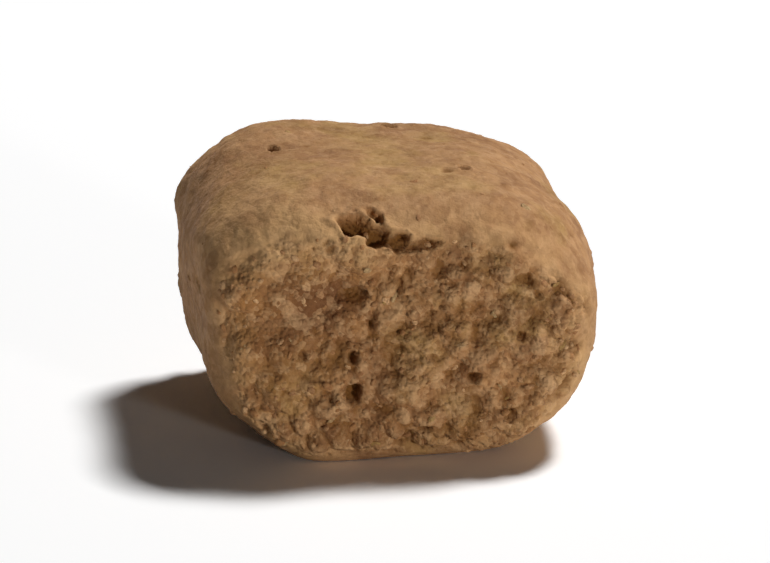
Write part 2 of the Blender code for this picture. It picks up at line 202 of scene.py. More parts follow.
class KibbleForm(bpy.types.PropertyGroup):
    """Sizes of the plain form, which are those of the solid."""

    section_width: length("Section width", 12.4 * MM, "Width of the rope's section, across the front")
    section_height: length("Section height", 8.6 * MM, "Height of the section above the ground")
    top_left: length("Top left radius", 2.8 * MM, "Corner radius of the section, seen from the front")
    top_right: length("Top right radius", 4.1 * MM, "Corner radius of the section, seen from the front")
    low_right: length("Low right radius", 3.6 * MM, "Corner radius of the section, seen from the front")
    low_left: length("Low left radius", 2.9 * MM, "Corner radius of the section, seen from the front")
    left_lean: length("Left lean", 1.15 * MM, "How far the left side draws in towards the ground")
    right_lean: length("Right lean", 0.45 * MM, "How far the right side draws in towards the ground")
    side_crown: length("Side crown", 0.42 * MM, "How far the section's four sides swell in their middle")
    cut_length: length("Cut length", 10.2 * MM, "Length of the rope between its two cuts")
    end_draw: length("End draw", 0.32 * MM, "How much thinner the rope is at its cuts than in its middle")
    front_crown: length("Front crown", 0.55 * MM, "How far the front cut swells in its middle")
    back_crown: length("Back crown", 0.75 * MM, "How far the back cut swells in its middle")
    front_rim: length("Front rim radius", 1.6 * MM, "Rounding between the skin and the front cut")
    back_rim: length("Back rim radius", 1.6 * MM, "Rounding between the skin and the back cut")
    front_slant: share("Front slant", -0.045, "Shift of the front cut along Y for each unit across")
    back_slant: share("Back slant", 0.06, "Shift of the back cut along Y for each unit across")
    front_lean_back: share("Front lean", 0.05, "Shift of the front cut along Y for each unit up")
    flat_depth: length("Flat depth", 0.22 * MM, "How deep the underside is pressed flat")
    clump_spacing: length("Clump spacing", 1.25 * MM, "Distance between the crumb's clumps on a cut end")
    clump_radius: length("Clump radius", 0.90 * MM, "How far the largest clump reaches")
    clump_height: length("Clump height", 0.38 * MM, "Height of the largest clump above its foot")
    smallest_clump: share("Smallest clump", 0.6, "Share of the largest clump's size")
    clump_sunk: share("Clump sunk", 0.5, "Share of the clumps' height that lies below the plain form")
    crumb_starts: length("Crumb starts", -0.60 * MM, "Distance past the rim's middle where the skin ends")
    crumb_full: length("Crumb full", 0.50 * MM, "Distance past the rim's middle where the crumb is full")
    skin_drawn: length("Skin drawn", 0.75 * MM, "How far the knife drew the skin over the front rim's top")
    # Width of the pale band along the rims: painted highlight where the rims catch the light, partly rubbed dust
    dust_and_highlight_width: length("Worn width", 0.90 * MM, "How far the rims' wear reaches to each side")
    cell: length("Surface cell", 0.083 * MM, "Size of the cells of the finished surface")


class CrumbRelief(bpy.types.PropertyGroup):
    """Sizes of what makes the surface rough."""

    lump_size: length("Lump size", 1.6 * MM, "Distance between the soft lumps")
    lump_height: length("Lump height", 0.05 * MM, "How far the lumps rise")
    granule_size: length("Granule size", 0.50 * MM, "Distance between the meal's granules")
    granule_height: length("Granule height", 0.24 * MM, "How far the granules rise on a cut end")
    grit_size: length("Grit size", 0.24 * MM, "Distance between grains of fine grit")
    grit_height: length("Grit height", 0.15 * MM, "How far the grit rises on a cut end")
    hollow_size: length("Hollow size", 0.90 * MM, "Distance between the crumb's irregular hollows")
    hollow_depth: length("Hollow depth", 0.14 * MM, "How deep the irregular hollows are on a cut end")
    crack_size: length("Crack size", 1.3 * MM, "Distance between the fine cracks")
    crack_depth: length("Crack depth", 0.10 * MM, "How deep the fine cracks are on a cut end")
    pore_spacing: length("Pore spacing", 0.95 * MM, "Distance between the small gas pores")
    pore_depth: length("Pore depth", 0.20 * MM, "How deep the small gas pores are on a cut end")
    warp: length("Warp", 0.12 * MM, "How far the pattern is pulled out of shape")
    skin_share: share("Skin share", 0.07, "Share of the cut ends' relief that the skin has")
    back_share: share("Back share", 0.72, "Share of the front cut's fine relief that the cleaner back cut has")
    skin_ragged: length("Skin ragged", 0.40 * MM, "How uneven the line is where the skin gives way to crumb")
    skin_film: length("Skin film", 0.55 * MM, "How far a thin film of skin reaches on over the front rim's top")
    skin_grain_size: length("Skin grain size", 0.42 * MM, "Distance between the skin's faint rises")
    skin_grain_height: length("Skin grain height", 0.030 * MM, "How far the skin's faint rises stand up")


class LooseMeal(bpy.types.PropertyGroup):
    """Counts and sizes of the coarse grains and flakes that stand in the surface."""

    grain_count: count("Grains", 520, "Coarse grains on the whole kibble")
    grain_size: length("Grain size", 0.15 * MM, "Half the width of a usual grain")
    flake_count: count("Bran flakes", 70, "Flakes of bran on the whole kibble")
    flake_size: length("Flake size", 0.24 * MM, "Half the length of a usual flake")
    flake_thickness: length("Flake thickness", 0.04 * MM, "Half the thickness of a flake")


class KibbleColours(bpy.types.PropertyGroup):
    """Colours of the baked meal."""

    skin: colour("Skin", (0.410, 0.212, 0.088), "The baked skin round the sides")
    crumb: colour("Crumb", (0.405, 0.195, 0.071), "The crumb on the cut ends")
    # Colour of the painted shade in pores, cracks, holes and gaps between grains, partly their darker crumb
    pit: colour("Pit", (0.195, 0.078, 0.013), "The bottom of pores and cracks")
    # Also the colour of the painted highlight on the granules' tops
    pale: colour("Pale granule", (0.640, 0.378, 0.178), "Granules of pale cereal")
    # Also the colour of the painted shade patches
    dark: colour("Dark granule", (0.190, 0.076, 0.024), "Granules of roasted meal")
    smear: colour("Smear", (0.380, 0.168, 0.044), "Crumb that the knife smeared smooth")
    # Colour of the painted highlight on the rims and the highlight patches, partly pale rubbed dust
    dust_and_highlight: colour("Worn rim", (0.600, 0.350, 0.150), "Pale dust where the rims rubbed")
    straw: colour("Straw", (0.420, 0.250, 0.080), "Patches with more bran")
    bran: colour("Bran", (0.500, 0.330, 0.150), "Flakes of bran on the surface")


class KibbleStage(bpy.types.PropertyGroup):
    """Camera, lamps and floor."""

    azimuth: share("Azimuth", -8.0, "Degrees that the camera stands to the right of the front")
    elevation: share("Elevation", 20.0, "Degrees that the camera looks down")
    distance: length("Camera distance", 0.70, "From the camera to the kibble")
    fill: share("Fill", 0.68, "Share of the picture's height that the kibble's box takes")
    key_power: share("Key power", 3.2, "Watts of the large lamp overhead on the right")
    key_size: length("Key size", 0.11, "Width of the large lamp")
    fill_power: share("Fill power", 1.62, "Watts of the lamp in front on the right")
    fill_size: length("Fill size", 0.045, "Width of the lamp in front")
    lamp_distance: length("Lamp distance", 0.60, "From each lamp to the kibble")
    sky: share("Sky", 0.018, "Strength of the even light from all round")
    floor_bounce: share("Floor bounce", 0.85, "How much light the floor returns to the kibble")
    floor_white: share("Floor white", 1.20, "How white the floor looks to the camera")
    white_from: length("White from", 0.03, "Distance from the kibble where the floor starts to turn plain white")
    white_beyond: length("White beyond", 0.10, "Distance from the kibble past which the floor is plain white")


def fade(low, high, values):
    """Smooth step: 0 below low, 1 above high, and 3t^2 - 2t^3 between."""
    t = np.clip((values - low) / (high - low), 0, 1)
    return t * t * (3 - 2 * t)


def scatter(cells, seed):
    """Three random numbers from 0 to 1 for each whole-number cell: its coordinates multiplied, mixed and shifted."""
    x, y, z = (cells.astype(np.int64).T & 0xFFFFFFFF).astype(np.uint32)
    made = []
    for turn in range(3):
        mixed = x * np.uint32(374761393) + y * np.uint32(668265263) + z * np.uint32(2246822519)
        mixed += np.uint32((seed * 3 + turn + 1) * 974711)
        mixed = (mixed ^ (mixed >> np.uint32(13))) * np.uint32(1274126177)
        mixed = (mixed ^ (mixed >> np.uint32(15))) * np.uint32(2654435761)
        made.append((mixed ^ (mixed >> np.uint32(16))) / 4294967296.0)
    return np.stack(made, 1)


def noise(points, size, seed):
    """Gradient noise from about -1 to 1: a random slope at each corner of a grid of that size, blended smoothly."""
    scaled = points / size
    cell = np.floor(scaled)
    inside = scaled - cell
    blend = inside**3 * (inside * (inside * 6 - 15) + 10)
    total = np.zeros(len(points))
    for corner in CORNERS:
        weight = np.where(corner, blend, 1 - blend).prod(1)
        slope = scatter(cell + corner, seed) * 2 - 1
        total += weight * ((inside - corner) * slope).sum(1)
    return total * 1.7


def layered_noise(points, size, seed, layers=3):
    """Noise plus noise of half the size and half the height, and so on."""
    return sum(noise(points, size / 2**n, seed + n) / 2**n for n in range(layers))


def packed_grains(points, size, seed):
    """A bed of balls of many sizes: its height at each point in cells, and a random number of the ball on top.

    Each cell of a grid holds one ball with a place and a radius of its own. Over a point the height of a ball is
    the square root of radius squared less distance squared, the highest ball counts, and gaps are 0.
    """
    scaled = points / size
    cell = np.floor(scaled)
    height = np.zeros(len(points))
    tone = np.full(len(points), 0.5)
    for step in NEIGHBOURS:
        place = scatter(cell + step, seed)
        own = place[:, 0] * 7.31 % 1.0
        away = ((scaled - cell - step - place) ** 2).sum(1)
        ball = np.sqrt(np.maximum((0.45 + 0.50 * own) ** 2 - away, 0))
        tone = np.where(ball > height, place[:, 1] * 5.17 % 1.0, tone)
        height = np.maximum(height, ball)
    return height, tone


def pin_pores(points, size, seed, share_open):
    """Steep round pits from 0 to 1: in that share of a grid's cells, one with a place and a radius of its own."""
    scaled = points / size
    cell = np.floor(scaled)
    depth = np.zeros(len(points))
    for step in NEIGHBOURS:
        place = scatter(cell + step, seed)
        own = place[:, 0] * 7.31 % 1.0
        distance = np.linalg.norm(scaled - cell - step - place, axis=1)
        pit = 1 - fade(0.45, 1.15, distance / (0.08 + 0.16 * own**2))
        depth = np.maximum(depth, pit * (own * 5.7 % 1.0 < share_open))
    return depth


class PlainForm:
    """The solid's own field: a leaning, round-cornered section swept along Y between two crowned, slanted cuts."""

    CLUMP_SEED = 5
    CURVE_LIMIT = 2.5
    BISECTIONS = 32
    SLOPE_STEP = 0.02 * MM

    def __init__(self, sizes):
        self.sizes = sizes
        self.half = np.array(
            (sizes.section_width / 2, sizes.cut_length / 2, (sizes.section_height + sizes.flat_depth) / 2)
        )
        self.middle = np.array((0.0, 0.0, sizes.section_height - self.half[2]))
        seats = self.along_rays(self.plain, [place for place, _, _ in DENTS])
        self.dents = [(seat, radius, depth) for seat, (_, radius, depth) in zip(seats, DENTS)]

    def section(self, x, z):
        """Distance from a box whose four corners have radii of their own, with leaning, crowned sides undone first."""
        s, (wide, _, high) = self.sizes, self.half
        drop = -z / high / 2
        x = (x - (s.left_lean - s.right_lean) / 2 * drop) * wide / (wide - (s.left_lean + s.right_lean) / 2 * drop)
        across = np.minimum((x / wide) ** 2, self.CURVE_LIMIT)
        up = np.minimum((z / high) ** 2, self.CURVE_LIMIT)
        x = x * wide / (wide - s.side_crown * up)
        z = z * high / (high - s.side_crown * across)
        on_top = np.where(x > 0, s.top_right, s.top_left)
        below = np.where(x > 0, s.low_right, s.low_left)
        radius = np.where(z > 0, on_top, below)
        over_x = np.abs(x) - wide + radius
        over_z = np.abs(z) - high + radius
        outside = np.hypot(np.maximum(over_x, 0), np.maximum(over_z, 0))
        return outside + np.minimum(np.maximum(over_x, over_z), 0) - radius

    def side_and_end(self, points):
        """Distances beyond the rope's skin and beyond the nearer of its two cuts."""
        s, (wide, long, high) = self.sizes, self.half
        x, y, z = (points - self.middle).T
        run = np.minimum((y / long) ** 2, self.CURVE_LIMIT)
        side = self.section(x * wide / (wide - s.end_draw * run), z * high / (high - s.end_draw * run))
        off_axis = np.minimum((x / wide) ** 2 + (z / high) ** 2, self.CURVE_LIMIT) / 2
        front = -y - long + s.front_crown * off_axis + s.front_slant * x + s.front_lean_back * z
        back = y - long + s.back_crown * off_axis + s.back_slant * x
        return side, np.where(y < 0, front, back)

    def plain(self, points):
        """Side and end joined by a rim: the rounded corner between two distances."""
        side, end = self.side_and_end(points)
        rim = np.where(points[:, 1] < 0, self.sizes.front_rim, self.sizes.back_rim)
        beyond = np.hypot(np.maximum(side + rim, 0), np.maximum(end + rim, 0))
        return beyond + np.minimum(np.maximum(side, end) + rim, 0) - rim

    def uneven(self, points):
        """The plain form less a sum of sines, and with each dent as a bell-shaped hollow."""
        shares = (points - self.middle) / self.half
        distance = self.plain(points)
        for along, phase, height in WAVES:
            distance = distance - height * np.sin(shares @ np.array(along) + phase)
        for seat, radius, depth in self.dents:
            distance = distance + depth * np.exp(-((points - seat) ** 2).sum(1) / radius**2)
        return distance

    def along_rays(self, field, places):
        """Points where rays from the middle through the places leave the field, found by halving."""
        rays = np.asarray(places, float) * self.half
        rays = rays / np.linalg.norm(rays, axis=1)[:, None]
        near = np.zeros(len(rays))
        far = np.full(len(rays), 2 * np.linalg.norm(self.half))
        for _ in range(self.BISECTIONS):
            halfway = (near + far) / 2
            inside = field(self.middle + rays * halfway[:, None]) < 0
            near = np.where(inside, halfway, near)
            far = np.where(inside, far, halfway)
        return self.middle + rays * near[:, None]

    def crumb_share(self, points, ragged=0.0):
        """0 on the skin and 1 on a cut end, by how far a point is past the middle of the rim, plus a ragged shift."""
        s = self.sizes
        side, end = self.side_and_end(points)
        up = (points[:, 2] - self.middle[2]) / self.half[2]
        drawn = s.skin_drawn * fade(0.2, 0.8, up) * (points[:, 1] < 0)
        return fade(s.crumb_starts, s.crumb_full, end - side - drawn + ragged)

    def rim_share(self, points):
        """1 on the rims between skin and cut and 0 away from them: a bell over how far a point is past the middle."""
        s = self.sizes
        side, end = self.side_and_end(points)
        up = (points[:, 2] - self.middle[2]) / self.half[2]
        drawn = s.skin_drawn * fade(0.2, 0.8, up) * (points[:, 1] < 0)
        beyond = np.minimum(np.abs(side), np.abs(end))
        return np.exp(-(((end - side - drawn) / s.dust_and_highlight_width) ** 2)) * fade(2.0 * MM, 0.0, beyond)

    def clumps(self, points):
        """Height of the crumb's clumps: over a point the highest one counts, and creases are left between them.

        Their middles are a shaken grid over each cut end. A clump's height falls with the square of the distance
        from its middle, and is 0 at its radius.
        """
        s, (wide, long, high) = self.sizes, self.half
        random = np.random.default_rng(self.CLUMP_SEED)
        across, up = np.arange(-wide, wide, s.clump_spacing), np.arange(-high, high, s.clump_spacing)
        grid = np.array([(x, y, z) for y in (-long, long) for x in across for z in up])
        grid[:, (0, 2)] += s.clump_spacing * random.uniform(0, 1, (len(grid), 2))
        seats = self.along_rays(self.uneven, grid / self.half)
        sizes = random.uniform(s.smallest_clump, 1, len(grid))
        rise = np.zeros(len(points))
        for seat, size in zip(seats, sizes):
            away = ((points - seat) ** 2).sum(1) / (size * s.clump_radius**2)
            rise = np.maximum(rise, size * (1 - away))
        return s.clump_height * (rise - s.clump_sunk)

    def outward(self, points):
        """Unit slope of the uneven field, by central differences."""
        steps = np.eye(3) * self.SLOPE_STEP
        slope = np.stack([self.uneven(points + step) - self.uneven(points - step) for step in steps], 1)
        return slope / np.linalg.norm(slope, axis=1)[:, None]


def cube_lattice(counts):
    """Points, as shares from -1 to 1, and outward quads of a cube cut into counts[0] by counts[1] by counts[2].

    Each face is a grid of whole numbers. A point's three numbers make one code, so points that two faces share
    have one code, and the codes that occur become the mesh's points.
    """
    counts = np.array(counts)
    quads = []
    for axis in range(3):
        first, second = (axis + 1) % 3, (axis + 2) % 3
        for side in (0, 1):
            place = np.empty((counts[first] + 1, counts[second] + 1, 3), np.int64)
            place[..., first] = np.arange(counts[first] + 1)[:, None]
            place[..., second] = np.arange(counts[second] + 1)[None, :]
            place[..., axis] = side * counts[axis]
            code = (place[..., 0] * (counts[1] + 1) + place[..., 1]) * (counts[2] + 1) + place[..., 2]
            ring = [code[:-1, :-1], code[1:, :-1], code[1:, 1:], code[:-1, 1:]]
            quads.append(np.stack(ring if side else ring[::-1], -1).reshape(-1, 4))
    codes, faces = np.unique(np.concatenate(quads), return_inverse=True)
    steps = np.stack([codes // ((counts[1] + 1) * (counts[2] + 1)), codes // (counts[2] + 1) % (counts[1] + 1),
                      codes % (counts[2] + 1)], 1)
    return steps / counts * 2 - 1, faces.reshape(-1, 4)


def mesh_piece(name, points, faces, attributes, material):
    """A shown piece from arrays, smooth, with its attributes on its points, riding on the part's one body."""
    mesh = bpy.data.meshes.new(name)
    mesh.from_pydata(points.tolist(), [], faces.tolist())
    mesh.shade_smooth()
    for label, values in attributes.items():
        mesh.attributes.new(label, "FLOAT", "POINT").data.foreach_set("value", values.astype(np.float32))
    mesh.materials.append(material)
    piece = bpy.data.objects.new(name, mesh)
    bpy.context.scene.collection.objects.link(piece)
    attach(piece, "root")
    return piece


def hole_depths(form, points, seed):
    """Depth of the named holes at each point, and the height of the lips round them.

    A hole is an ellipse in the plane that touches the form at its seat. Its edge is made ragged with noise, and
    its depth falls from the full depth inside to nothing at the edge. The lip is a bell round the edge.
    """
    seats = form.along_rays(form.uneven, [hole[0] for hole in HOLES])
    outward = form.outward(seats)
    ragged = 0.50 * noise(points, 0.50 * MM, seed) + 0.25 * noise(points, 0.20 * MM, seed + 1)
    depth = np.zeros(len(points))
    lip = np.zeros(len(points))
    for seat, normal, (_, wide, high, deep, turn) in zip(seats, outward, HOLES):
        upright = np.array((0, 0, 1.0)) if abs(normal[2]) < 0.9 else np.array((0, 1.0, 0))
        right = np.cross(upright, normal)
        right /= np.linalg.norm(right)
        up = np.cross(normal, right)
        c, s = math.cos(math.radians(turn)), math.sin(math.radians(turn))
        offset = points - seat
        u = offset @ (right * c + up * s) / (wide / 2)
        v = offset @ (up * c - right * s) / (high / 2)
        reach = np.hypot(u, v) + ragged + fade(wide, 2 * wide, np.abs(offset @ normal))
        depth = np.maximum(depth, deep * (1 - fade(0.45, 1.12, reach)))
        lip = np.maximum(lip, 0.12 * min(wide, high) * np.exp(-(((reach - 1.3) / 0.25) ** 2)))
    return depth, lip


def patches(form, points, table, seed):
    """Sum of the table's patches: bells round their seats, with radii that noise makes uneven."""
    total = np.zeros(len(points))
    uneven = 1 + 0.35 * noise(points, 0.7 * MM, seed)
    for seat, (_, radius, most) in zip(form.along_rays(form.uneven, [patch[0] for patch in table]), table):
        total += most * np.exp(-((points - seat) ** 2).sum(1) / (radius * uneven) ** 2)
    return total


def crumb_relief(form, points, relief):
    """How far each point of the form moves outward, and the attributes that the material reads.

    The pattern's own places are pulled out of shape by noise. The clumps are the solid's. Lumps are layered
    noise. Granules and grit are two beds of packed grains. Hollows are where a noise is high and cracks where
    one is near zero, and both are deeper in open patches. Pores are small steep pits. The named holes come last,
    and they lay rough crumb bare.
    """
    seed = LATTICE_SEED
    pull = np.stack([noise(points, 0.95 * MM, seed + n) for n in (1, 2, 3)], 1) * relief.warp
    pull += np.stack([noise(points, 0.30 * MM, seed + n) for n in (4, 5, 6)], 1) * relief.warp * 0.45
    pulled = points + pull
    up = (points[:, 2] - form.middle[2]) / form.half[2]
    film = relief.skin_film * fade(0.1, 0.8, up) * (1 + 0.5 * points[:, 0] / form.half[0]) * (points[:, 1] < 0)
    cut = form.crumb_share(points, relief.skin_ragged * layered_noise(points, 1.1 * MM, seed + 10) - film)
    smeared = np.minimum(patches(form, points, SMEARS, seed + 12) * cut, 0.9)
    full = np.where(points[:, 1] < 0, 1.0, relief.back_share)
    rough = (relief.skin_share + (full - relief.skin_share) * cut) * (1 - smeared)

    lumps = layered_noise(points, relief.lump_size, seed + 20, 2) * relief.lump_height
    granule, tone = packed_grains(pulled, relief.granule_size, seed + 30)
    grit, grit_tone = packed_grains(pulled, relief.grit_size, seed + 40)
    openness = fade(-0.5, 0.6, noise(points, 2.4 * MM, seed + 45))
    hollow = fade(0.15, 0.62, layered_noise(pulled, relief.hollow_size, seed + 50, 3)) * (0.4 + 0.6 * openness)
    crack = 1 - fade(0.0, 0.16, np.abs(layered_noise(pulled, relief.crack_size, seed + 55, 2)))
    crack *= 0.3 + 0.7 * openness
    pore = pin_pores(pulled, relief.pore_spacing, seed + 60, 0.25 + 0.50 * cut)
    grain = layered_noise(pulled, relief.skin_grain_size, seed + 65, 3)
    deep, lip = hole_depths(form, points, seed + 70)
    # Pale band along the rims: painted highlight where the rims catch the light, partly rubbed dust, plus the painted
    # highlight patches
    dust_and_highlight = form.rim_share(points) * fade(-0.9, 0.5, layered_noise(points, 0.8 * MM, seed + 80, 3))
    dust_and_highlight = np.minimum(dust_and_highlight + patches(form, points, PAINTED_HIGHLIGHTS, seed + 82), 1.5)
    # Patches of painted shade, partly darker baked crumb
    roasted_and_shaded = patches(form, points, ROASTED_AND_SHADED, seed + 85)

    bare = fade(0.0, 0.15 * MM, deep)
    rough = np.maximum(rough, 0.75 * bare)
    bed = relief.granule_height * (granule - 0.50) + relief.grit_height * (grit - 0.50)
    bed -= relief.hollow_depth * hollow + relief.crack_depth * crack
    height = form.clumps(points) * form.crumb_share(points) + lumps
    height += rough * bed + (1 - rough) * relief.skin_grain_height * grain
    height -= np.clip(rough + 0.30, 0, 1) * relief.pore_depth * pore * (1 - bare)
    height += lip * (1 - bare) - deep

    # Painted shade: gaps between grains, pores and holes darken towards the pit colour
    low = 1 - fade(-0.22 * MM, -0.02 * MM, rough * bed)
    sunk = np.clip(0.75 * low + 0.8 * pore + deep / (0.45 * MM), 0, 1)
    # Painted highlight: the tops of the granules and grit turn paler, as if lit
    top_highlight = fade(0.00 * MM, 0.10 * MM, rough * bed)
    return height, {
        "cut": np.maximum(cut, bare), "sunk": sunk, "top_highlight": top_highlight, "smeared": smeared, "dust_and_highlight": dust_and_highlight, "roasted_and_shaded": roasted_and_shaded,
        "tone": tone, "grit": grit_tone,
    }


class NodeChain:
    """Short words for the nodes of one material: each makes a node, sets its values and returns its output."""

    def __init__(self, name):
        self.material = bpy.data.materials.new(name)
        self.material.use_nodes = True
        self.tree = self.material.node_tree
        self.shader = self.tree.nodes["Principled BSDF"]
        self.place = self.tree.nodes.new("ShaderNodeTexCoord").outputs["Object"]

    def put(self, socket, value):
        if isinstance(value, bpy.types.NodeSocket):
            self.tree.links.new(value, socket)
        else:
            socket.default_value = (*value, 1.0) if isinstance(value, tuple) and len(value) == 3 else value

    def attribute(self, name):
        node = self.tree.nodes.new("ShaderNodeAttribute")
        node.attribute_name = name
        return node.outputs["Fac"]

    def speckle(self, size, detail=2.0, roughness=0.5):
        """Noise whose features are about that size."""
        node = self.tree.nodes.new("ShaderNodeTexNoise")
        self.put(node.inputs["Vector"], self.place)
        node.inputs["Scale"].default_value = 1 / size
        node.inputs["Detail"].default_value = detail
        node.inputs["Roughness"].default_value = roughness
        return node.outputs["Fac"]

    def cells(self, size):
        """Scattered cells of about that size: the distance from each one's middle, and a colour of its own."""
        node = self.tree.nodes.new("ShaderNodeTexVoronoi")
        self.put(node.inputs["Vector"], self.place)
        node.inputs["Scale"].default_value = 1 / size
        return node.outputs["Distance"], node.outputs["Color"]

    def between(self, value, low, high, to_low=0.0, to_high=1.0):
        """The value's stretch from low to high, mapped smoothly to another stretch."""
        node = self.tree.nodes.new("ShaderNodeMapRange")
        node.interpolation_type = "SMOOTHSTEP"
        for socket, number in zip(list(node.inputs)[:5], (value, low, high, to_low, to_high)):
            self.put(socket, number)
        return node.outputs["Result"]

    def math(self, operation, first, second):
        node = self.tree.nodes.new("ShaderNodeMath")
        node.operation = operation
        self.put(node.inputs[0], first)
        self.put(node.inputs[1], second)
        return node.outputs["Value"]

    def mix(self, share_of_second, first, second):
        """Blend of two colours."""
        node = self.tree.nodes.new("ShaderNodeMix")
        node.data_type = "RGBA"
        self.put(node.inputs["Factor"], share_of_second)
        self.put(node.inputs[6], first)
        self.put(node.inputs[7], second)
        return node.outputs[2]

    def bump(self, height, distance, below=None):
        node = self.tree.nodes.new("ShaderNodeBump")
        node.inputs["Distance"].default_value = distance
        self.put(node.inputs["Height"], height)
        if below is not None:
            self.put(node.inputs["Normal"], below)
        return node.outputs["Normal"]


def baked_meal(colours):
    """The body's finish: skin to crumb, mottled, speckled with meal of other tones, painted shade in pits, painted
    highlight on tops.
    """
    chain = NodeChain("baked_meal")
    pale, dark = tuple(colours.pale), tuple(colours.dark)
    cut = chain.attribute("cut")
    ground = chain.mix(cut, tuple(colours.skin), tuple(colours.crumb))
    patches = chain.between(chain.speckle(2.4 * MM, 3.0), 0.48, 0.66, 0.0, 0.70)
    ground = chain.mix(patches, ground, tuple(colours.straw))
    toasted = chain.between(chain.speckle(1.5 * MM, 3.0), 0.36, 0.54, 0.42, 0.0)
    ground = chain.mix(toasted, ground, dark)
    mottle = chain.speckle(0.55 * MM, 3.0, 0.6)
    ground = chain.mix(chain.between(mottle, 0.46, 0.82, 0.0, 0.50), ground, pale)
    ground = chain.mix(chain.between(mottle, 0.20, 0.50, 0.40, 0.0), ground, dark)
    ground = chain.mix(chain.attribute("smeared"), ground, tuple(colours.smear))
    # Painted shade patches, partly darker baked crumb
    ground = chain.mix(chain.attribute("roasted_and_shaded"), ground, dark)
    # Painted highlight along the rims and on the highlight patches, partly pale rubbed dust
    ground = chain.mix(chain.math("MULTIPLY", chain.attribute("dust_and_highlight"), 0.60), ground, tuple(colours.dust_and_highlight))
    strength = chain.between(cut, 0.0, 1.0, 0.45, 1.0)
    for tone, most in ((chain.attribute("tone"), 0.58), (chain.attribute("grit"), 0.34)):
        ground = chain.mix(chain.math("MULTIPLY", chain.between(tone, 0.66, 1.0, 0.0, most), strength), ground, pale)
        ground = chain.mix(chain.math("MULTIPLY", chain.between(tone, 0.0, 0.34, most, 0.0), strength), ground, dark)
    middle, own = chain.cells(0.15 * MM)
    ground = chain.mix(chain.math("MULTIPLY", chain.between(own, 0.55, 0.90, 0.0, 0.38), strength), ground, pale)
    ground = chain.mix(chain.math("MULTIPLY", chain.between(own, 0.15, 0.42, 0.38, 0.0), strength), ground, dark)
    # Painted highlight on the granules' tops
    ground = chain.mix(chain.between(chain.attribute("top_highlight"), 0.0, 1.0, 0.0, 0.34), ground, pale)
    # Painted shade in pores, cracks, holes and gaps between grains
    ground = chain.mix(chain.attribute("sunk"), ground, tuple(colours.pit))
    chain.put(chain.shader.inputs["Base Color"], ground)
    chain.put(chain.shader.inputs["Roughness"], chain.between(chain.speckle(0.4 * MM), 0.3, 0.7, 0.76, 0.94))
    chain.shader.inputs["Specular IOR Level"].default_value = 0.3
    rise = chain.math("MULTIPLY", chain.between(middle, 0.05, 0.75, 1.0, 0.0), chain.between(cut, 0.0, 1.0, 0.1, 1.0))
    grain = chain.bump(rise, 0.040 * MM)
    grain = chain.bump(chain.speckle(0.12 * MM, 4.0, 0.62), 0.045 * MM, grain)
    chain.put(chain.shader.inputs["Normal"], grain)
    return chain.material


class KIBBLE_OT_body(bpy.types.Operator):
    """Builds the kibble's body, which stands for the solid."""

    bl_idname = "kibble.body"
    bl_label = "Kibble body"

    def execute(self, context):
        scene = context.scene
        form = PlainForm(scene.kibble_form)
        counts = np.round(2 * form.half / scene.kibble_form.cell).astype(int)
        places, faces = cube_lattice(counts)
        points = form.along_rays(form.uneven, places)
        outward = form.outward(points)
        height, attributes = crumb_relief(form, points, scene.crumb_relief)
        above = fade(0.0, 0.5 * MM, points[:, 2])
        points = points + outward * (height * above)[:, None]
        points[:, 2] = np.maximum(points[:, 2], 0)
        body = mesh_piece("kibble_body", points, faces, attributes, baked_meal(scene.kibble_colours))
        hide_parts(NODE)
        return {"FINISHED"}


def body_surface():
    """Places, outward directions and cut shares of the body's points."""
    mesh = bpy.data.objects["kibble_body"].data
    total = len(mesh.vertices)
    places, outward, cut = np.empty(total * 3), np.empty(total * 3), np.empty(total)
    mesh.vertices.foreach_get("co", places)
    mesh.vertex_normals.foreach_get("vector", outward)
    mesh.attributes["cut"].data.foreach_get("value", cut)
    return places.reshape(-1, 3), outward.reshape(-1, 3), cut


def pebble(around, rings):
    """Unit directions and triangles of a ball: rings of points between two poles."""
    turn = np.arange(around) / around * 2 * np.pi
    tilt = (np.arange(rings) + 1) / (rings + 1) * np.pi
    ring = np.stack([np.outer(np.sin(tilt), np.cos(turn)), np.outer(np.sin(tilt), np.sin(turn)),
                     np.outer(np.cos(tilt), np.ones(around))], -1).reshape(-1, 3)
    points = np.concatenate([[[0, 0, 1]], ring, [[0, 0, -1]]])
    here = np.arange(around)
    after = (here + 1) % around
    faces = [np.stack([0 * here, 1 + here, 1 + after], 1)]
    for upper in range(rings - 1):
        a, b = 1 + upper * around, 1 + (upper + 1) * around
        faces += [np.stack([a + here, b + here, b + after], 1), np.stack([a + here, b + after, a + after], 1)]
    last = 1 + (rings - 1) * around
    faces.append(np.stack([last + here, last * 0 + len(points) - 1 + 0 * here, last + after], 1))
    return points, np.concatenate(faces)


def chips(random, unit, total, planes):
    """Angular chips: along each direction, the nearest of that many random planes about a middle, softly joined.

    Distances to the planes are joined by a power mean, so that the edges are a little worn.
    """
    normals = random.normal(0, 1, (total, planes, 3))
    normals /= np.linalg.norm(normals, axis=2)[:, :, None]
    reach = random.uniform(0.55, 1.0, (total, 1, planes))
    facing = np.maximum(np.einsum("pk,gnk->gpn", unit, normals), 0) / reach
    return unit[None] / ((facing**9).sum(2) + 0.35) [:, :, None] ** (1 / 9)


